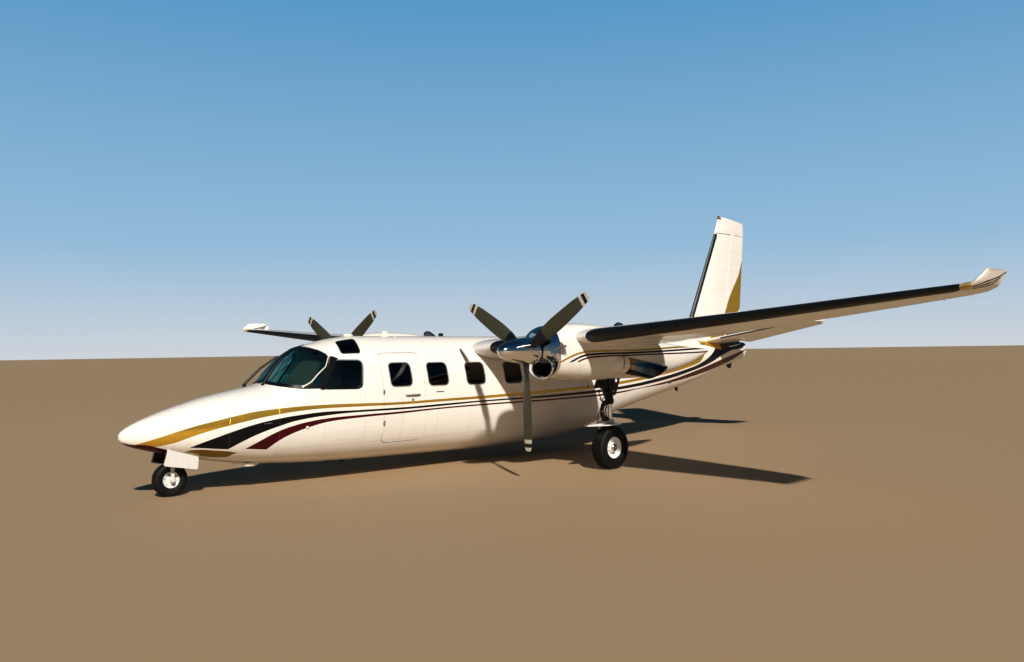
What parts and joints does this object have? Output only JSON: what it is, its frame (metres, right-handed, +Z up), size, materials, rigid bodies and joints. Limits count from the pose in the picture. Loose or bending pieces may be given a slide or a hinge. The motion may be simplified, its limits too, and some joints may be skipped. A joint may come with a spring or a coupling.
{
  "type": "twin turboprop aircraft",
  "caption": "High-wing twin turboprop light transport with turned-up wing tips, propellers, a single fin and low tailplane, on retractable gear with a cabin door.",
  "frame": {"origin": "on the ground, under the centre of the bounding box", "axes": "+X towards the nose, +Y towards the left wing tip, +Z up"},
  "size_m": [13.1, 15.413, 4.51],
  "materials": {
    "body_paint": "gloss off-white paint over aluminium sheet",
    "polished_metal": "mirror polished",
    "blade_paint": "satin dark grey-green paint",
    "exhaust_steel": "heat-tinted steel",
    "engine_block": "plain block",
    "gear_steel": "painted and plated steel",
    "wheel_hub": "white paint",
    "tyre_rubber": "matte rubber",
    "window_glass": "tinted glass",
    "instrument_panel": "matte",
    "carpet": "pile carpet",
    "seat_leather": "satin leather"
  },
  "bodies": {
    "airframe": {"radome": "body_paint", "nose_section": "body_paint", "cabin_shell": "body_paint", "tail_section": "body_paint", "windscreen_left": "window_glass", "windscreen_right": "window_glass", "cockpit_window_left": "window_glass", "cockpit_window_right": "window_glass", "eyebrow_window_left": "window_glass", "eyebrow_window_right": "window_glass", "cabin_glazing_left": "window_glass", "cabin_glazing_right": "window_glass", "cabin_floor": "carpet", "instrument_panel": "instrument_panel", "crew_seat_left": "seat_leather", "crew_seat_right": "seat_leather", "cabin_seat_left": "seat_leather", "cabin_seat_right": "seat_leather", "aft_bench": "seat_leather", "wing_left": "body_paint", "wing_right": "body_paint", "nacelle_left": "body_paint", "nacelle_right": "body_paint", "cowl_ring_left": "polished_metal", "cowl_ring_right": "polished_metal", "engine_left": "engine_block", "engine_right": "engine_block", "exhaust_left": "exhaust_steel", "exhaust_right": "exhaust_steel", "main_gear_leg_left": "gear_steel", "main_gear_leg_right": "gear_steel", "nose_gear_leg": "gear_steel", "nose_gear_door_left": "body_paint", "nose_gear_door_right": "body_paint", "fin": "body_paint", "tailplane_left": "body_paint", "tailplane_right": "body_paint"},
    "cabin_door": {"cabin_door": "body_paint", "door_window": "window_glass"},
    "rudder": {"rudder": "body_paint"},
    "nose_fork": {"nose_gear_fork": "gear_steel"},
    "nose_wheel": {"nose_tyre": "tyre_rubber", "nose_wheel": "wheel_hub"},
    "flap_inner_left": {"flap_inner_left": "body_paint"},
    "flap_inner_right": {"flap_inner_right": "body_paint"},
    "flap_outer_left": {"flap_outer_left": "body_paint"},
    "flap_outer_right": {"flap_outer_right": "body_paint"},
    "aileron_left": {"aileron_left": "body_paint"},
    "aileron_right": {"aileron_right": "body_paint"},
    "elevator_left": {"elevator_left": "body_paint"},
    "elevator_right": {"elevator_right": "body_paint"},
    "propeller_left": {"propeller_left": "blade_paint", "spinner_left": "polished_metal"},
    "main_wheel_left": {"main_wheel_left": "wheel_hub", "main_tyre_left": "tyre_rubber"},
    "propeller_right": {"propeller_right": "blade_paint", "spinner_right": "polished_metal"},
    "main_wheel_right": {"main_wheel_right": "wheel_hub", "main_tyre_right": "tyre_rubber"}
  },
  "joints": [
    {"name": "flap_inner_left", "type": "hinge", "parent": "airframe", "child": "flap_inner_left", "pos_m": [0.01466, 1.39, 1.75122], "axis": [-0.1548, -0.9855, -0.0702], "range_deg": [0, 40]},
    {"name": "flap_inner_right", "type": "hinge", "parent": "airframe", "child": "flap_inner_right", "pos_m": [0.01466, -1.39, 1.75122], "axis": [0.1548, -0.9855, 0.0702], "range_deg": [0, 40]},
    {"name": "flap_outer_left", "type": "hinge", "parent": "airframe", "child": "flap_outer_left", "pos_m": [0.35598, 3.565, 1.90834], "axis": [-0.1546, -0.9854, -0.0718], "range_deg": [0, 40]},
    {"name": "flap_outer_right", "type": "hinge", "parent": "airframe", "child": "flap_outer_right", "pos_m": [0.35598, -3.565, 1.90834], "axis": [0.1546, -0.9854, 0.0718], "range_deg": [0, 40]},
    {"name": "aileron_left", "type": "hinge", "parent": "airframe", "child": "aileron_left", "pos_m": [0.69607, 5.81, 2.08494], "axis": [-0.1661, -0.9826, -0.0826], "range_deg": [-20, 20]},
    {"name": "aileron_right", "type": "hinge", "parent": "airframe", "child": "aileron_right", "pos_m": [0.69607, -5.81, 2.08494], "axis": [0.1661, -0.9826, 0.0826], "range_deg": [-20, 20]},
    {"name": "elevator_left", "type": "hinge", "parent": "airframe", "child": "elevator_left", "pos_m": [-5.73127, 1.24, 2.04905], "axis": [-0.0026, 0.9856, 0.169], "range_deg": [-15, 25]},
    {"name": "elevator_right", "type": "hinge", "parent": "airframe", "child": "elevator_right", "pos_m": [-5.73127, -1.24, 2.04905], "axis": [0.0026, 0.9856, -0.169], "range_deg": [-15, 25]},
    {"name": "rudder", "type": "hinge", "parent": "airframe", "child": "rudder", "pos_m": [-5.84678, 0, 3.0365], "axis": [-0.1854, 0, 0.9827], "range_deg": [-25, 25]},
    {"name": "propeller_left", "type": "hinge", "parent": "airframe", "child": "propeller_left", "pos_m": [2.19, 2.35, 1.704], "axis": [1, 0, 0], "continuous": true},
    {"name": "main_wheel_left", "type": "hinge", "parent": "airframe", "child": "main_wheel_left", "pos_m": [0.575, 2.35, 0.305], "axis": [0, 1, 0], "continuous": true},
    {"name": "propeller_right", "type": "hinge", "parent": "airframe", "child": "propeller_right", "pos_m": [2.19, -2.35, 1.704], "axis": [1, 0, 0], "continuous": true},
    {"name": "main_wheel_right", "type": "hinge", "parent": "airframe", "child": "main_wheel_right", "pos_m": [0.575, -2.35, 0.305], "axis": [0, 1, 0], "continuous": true},
    {"name": "nose_steering", "type": "hinge", "parent": "airframe", "child": "nose_fork", "pos_m": [5.955, 0, 0.45], "axis": [0, 0, 1], "range_deg": [-30, 30]},
    {"name": "nose_wheel", "type": "hinge", "parent": "nose_fork", "child": "nose_wheel", "pos_m": [5.955, 0, 0.203], "axis": [0, 1, 0], "continuous": true},
    {"name": "cabin_door", "type": "hinge", "parent": "airframe", "child": "cabin_door", "pos_m": [3.3182, 0.716, 1.08], "axis": [0, 0, -1], "range_deg": [0, 100]}
  ],
  "couplings": [
    {"joint": "flap_inner_right", "follows": "flap_inner_left", "ratio": 1},
    {"joint": "flap_outer_left", "follows": "flap_inner_left", "ratio": 1},
    {"joint": "flap_outer_right", "follows": "flap_inner_left", "ratio": 1},
    {"joint": "aileron_right", "follows": "aileron_left", "ratio": -1},
    {"joint": "elevator_right", "follows": "elevator_left", "ratio": 1}
  ]
}
